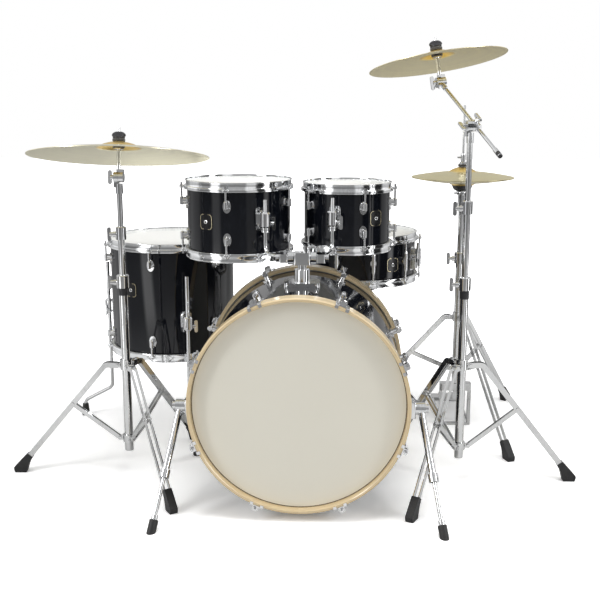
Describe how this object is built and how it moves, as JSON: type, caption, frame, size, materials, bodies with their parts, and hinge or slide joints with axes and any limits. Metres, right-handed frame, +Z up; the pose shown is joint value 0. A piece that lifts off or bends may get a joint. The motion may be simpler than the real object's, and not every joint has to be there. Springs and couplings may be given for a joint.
{
  "type": "acoustic drum kit",
  "caption": "Acoustic drum kit: gloss black shells with ivory heads, maple bass hoops, chrome folding stands, bronze cymbals, hi-hat and bass pedal.",
  "frame": {"origin": "on the floor under the middle of the kit's bounding box", "axes": "+Z up; -Y toward the audience, so the bass drum's front head faces -Y; +X to the right as the audience sees it; the player sits on the +Y side"},
  "size_m": [1.6686, 1.2004, 1.277],
  "materials": {
    "shell_wrap": "ply shell under a high gloss black wrap",
    "hoop_maple": "clear lacquered maple",
    "head_film": "coated ivory polyester film",
    "chrome": "polished chrome plate",
    "rubber": "matte black rubber",
    "bronze": "lathed bronze alloy with a brushed sheen",
    "black_fittings": "black felt and moulded black nut",
    "steel_wire": "bright steel wire",
    "cast_alloy": "polished cast alloy"
  },
  "bodies": {
    "bass_drum": {"bass_shell": "shell_wrap", "bass_hoops": "hoop_maple", "bass_front_head": "head_film", "bass_batter_head": "head_film", "bass_lugs": "chrome", "bass_claws": "chrome", "tom_holder_base": "chrome", "spur_brackets": "chrome", "floor_tom_legs": "chrome", "rubber_feet": "rubber", "ride_tripod": "chrome", "crash_tripod": "chrome", "hihat_tripod": "chrome", "snare_tripod": "chrome", "pedal_frame": "cast_alloy"},
    "spur_left": {"spur_left_leg": "chrome", "spur_left_foot": "rubber"},
    "spur_right": {"spur_right_leg": "chrome", "spur_right_foot": "rubber"},
    "tom_post": {"tom_post": "chrome"},
    "tom12_arm": {"tom12_arm": "chrome"},
    "tom10_arm": {"tom10_arm": "chrome"},
    "tom12": {"tom12_shell": "shell_wrap", "tom12_hoops": "chrome", "tom12_heads": "head_film", "tom12_lugs": "chrome"},
    "tom10": {"tom10_shell": "shell_wrap", "tom10_hoops": "chrome", "tom10_heads": "head_film", "tom10_lugs": "chrome"},
    "floor_tom": {"floor_tom_shell": "shell_wrap", "floor_tom_hoops": "chrome", "floor_tom_heads": "head_film", "floor_tom_lugs": "chrome"},
    "snare": {"snare_shell": "shell_wrap", "snare_hoops": "chrome", "snare_heads": "head_film", "snare_lugs": "chrome", "snare_wires": "steel_wire", "snare_basket": "chrome"},
    "strainer_lever": {"strainer_lever": "chrome"},
    "ride_mid": {"ride_mid_tube": "chrome"},
    "ride_upper": {"ride_upper_tube": "chrome"},
    "ride_tilter": {"ride_tilter": "chrome", "ride_cymbal_nut": "black_fittings"},
    "ride_cymbal": {"ride_cymbal": "bronze"},
    "crash_mid": {"crash_mid_tube": "chrome"},
    "crash_upper": {"crash_upper_tube": "chrome"},
    "boom_clamp": {"boom_clamp": "chrome"},
    "boom_arm": {"boom_arm": "chrome"},
    "crash_tilter": {"crash_tilter": "chrome", "crash_cymbal_nut": "black_fittings"},
    "crash_cymbal": {"crash_cymbal": "bronze"},
    "hihat_upper": {"hihat_upper_tube": "chrome", "hihat_bottom_cymbal": "bronze"},
    "hihat_rod": {"hihat_pull_rod": "chrome", "hihat_top_cymbal": "bronze"},
    "hihat_footboard": {"hihat_footboard": "cast_alloy"},
    "pedal_footboard": {"pedal_footboard": "cast_alloy"},
    "pedal_beater": {"pedal_beater": "cast_alloy"}
  },
  "joints": [
    {"name": "spur_left_fold", "type": "hinge", "parent": "bass_drum", "child": "spur_left", "pos_m": [-0.2905, -0.39882, 0.285], "axis": [-1, 0, 0], "range_deg": [0, 50]},
    {"name": "spur_right_fold", "type": "hinge", "parent": "bass_drum", "child": "spur_right", "pos_m": [0.3595, -0.39882, 0.285], "axis": [-1, 0, 0], "range_deg": [0, 50]},
    {"name": "tom_post_height", "type": "slide", "parent": "bass_drum", "child": "tom_post", "axis": [0, 0, 1], "range_m": [-0.012, 0.03]},
    {"name": "tom12_arm_tilt", "type": "hinge", "parent": "tom_post", "child": "tom12_arm", "pos_m": [0.0345, -0.26382, 0.669], "axis": [-1, 0, 0], "range_deg": [-5, 4]},
    {"name": "tom10_arm_tilt", "type": "hinge", "parent": "tom_post", "child": "tom10_arm", "pos_m": [0.0345, -0.26382, 0.669], "axis": [-1, 0, 0], "range_deg": [-5, 4]},
    {"name": "tom12_swivel", "type": "hinge", "parent": "tom12_arm", "child": "tom12", "pos_m": [-0.0734, -0.18484, 0.764], "axis": [0, 0, 1], "range_deg": [-3, 45]},
    {"name": "tom10_swivel", "type": "hinge", "parent": "tom10_arm", "child": "tom10", "pos_m": [0.11528, -0.14315, 0.764], "axis": [0, 0, -1], "range_deg": [-3, 40]},
    {"name": "floor_tom_height", "type": "slide", "parent": "bass_drum", "child": "floor_tom", "axis": [0, 0, 1], "range_m": [-0.05, 0.08]},
    {"name": "snare_height", "type": "slide", "parent": "bass_drum", "child": "snare", "axis": [0, 0, 1], "range_m": [-0.03, 0.08]},
    {"name": "strainer_throw", "type": "hinge", "parent": "snare", "child": "strainer_lever", "pos_m": [0.38227, 0.26989, 0.586], "axis": [0.4384, 0.8988, 0], "range_deg": [0, 80]},
    {"name": "ride_mid_height", "type": "slide", "parent": "bass_drum", "child": "ride_mid", "axis": [0, 0, 1], "range_m": [-0.01, 0.12]},
    {"name": "ride_upper_height", "type": "slide", "parent": "ride_mid", "child": "ride_upper", "axis": [0, 0, 1], "range_m": [-0.01, 0.12]},
    {"name": "ride_tilt", "type": "hinge", "parent": "ride_upper", "child": "ride_tilter", "pos_m": [-0.4865, -0.17882, 0.882], "axis": [-1, 0, 0], "range_deg": [-20, 4]},
    {"name": "ride_spin", "type": "hinge", "parent": "ride_tilter", "child": "ride_cymbal", "pos_m": [-0.4865, -0.17882, 0.882], "axis": [0, 0.1719, 0.9851], "continuous": true},
    {"name": "crash_mid_height", "type": "slide", "parent": "bass_drum", "child": "crash_mid", "axis": [0, 0, 1], "range_m": [-0.02, 0.12]},
    {"name": "crash_upper_height", "type": "slide", "parent": "crash_mid", "child": "crash_upper", "axis": [0, 0, 1], "range_m": [-0.02, 0.1]},
    {"name": "boom_tilt", "type": "hinge", "parent": "crash_upper", "child": "boom_clamp", "pos_m": [0.4905, -0.19682, 1.026], "axis": [0.9479, 0.3186, 0], "range_deg": [-20, 35]},
    {"name": "boom_slide", "type": "slide", "parent": "boom_clamp", "child": "boom_arm", "axis": [-0.2858, 0.8504, 0.4417], "range_m": [-0.04, 0.06]},
    {"name": "crash_tilt", "type": "hinge", "parent": "boom_arm", "child": "crash_tilter", "pos_m": [0.42879, 0.03704, 1.14482], "axis": [0.958, 0.2658, 0.1082], "range_deg": [-15, 25]},
    {"name": "crash_spin", "type": "hinge", "parent": "crash_tilter", "child": "crash_cymbal", "pos_m": [0.42879, 0.03704, 1.14482], "axis": [-0.1471, 0.1311, 0.9804], "continuous": true},
    {"name": "hihat_height", "type": "slide", "parent": "bass_drum", "child": "hihat_upper", "axis": [0, 0, 1], "range_m": [0, 0.08]},
    {"name": "hihat_lift", "type": "slide", "parent": "hihat_upper", "child": "hihat_rod", "axis": [0, 0, 1], "range_m": [0, 0.03]},
    {"name": "hihat_pedal", "type": "hinge", "parent": "bass_drum", "child": "hihat_footboard", "pos_m": [0.5345, 0.55818, 0.022], "axis": [-1, 0, 0], "range_deg": [0, 7]},
    {"name": "bass_pedal", "type": "hinge", "parent": "bass_drum", "child": "pedal_footboard", "pos_m": [0.0345, 0.31318, 0.022], "axis": [1, 0, 0], "range_deg": [0, 10.5], "stiffness_Nm_per_rad": 6, "springref_deg": -14.32},
    {"name": "beater_swing", "type": "hinge", "parent": "bass_drum", "child": "pedal_beater", "pos_m": [0.0345, 0.05818, 0.168], "axis": [1, 0, 0], "range_deg": [0, 42]}
  ],
  "couplings": [
    {"joint": "hihat_pedal", "follows": "hihat_lift", "rad_per_m": 3.9},
    {"joint": "beater_swing", "follows": "bass_pedal", "ratio": 4}
  ]
}
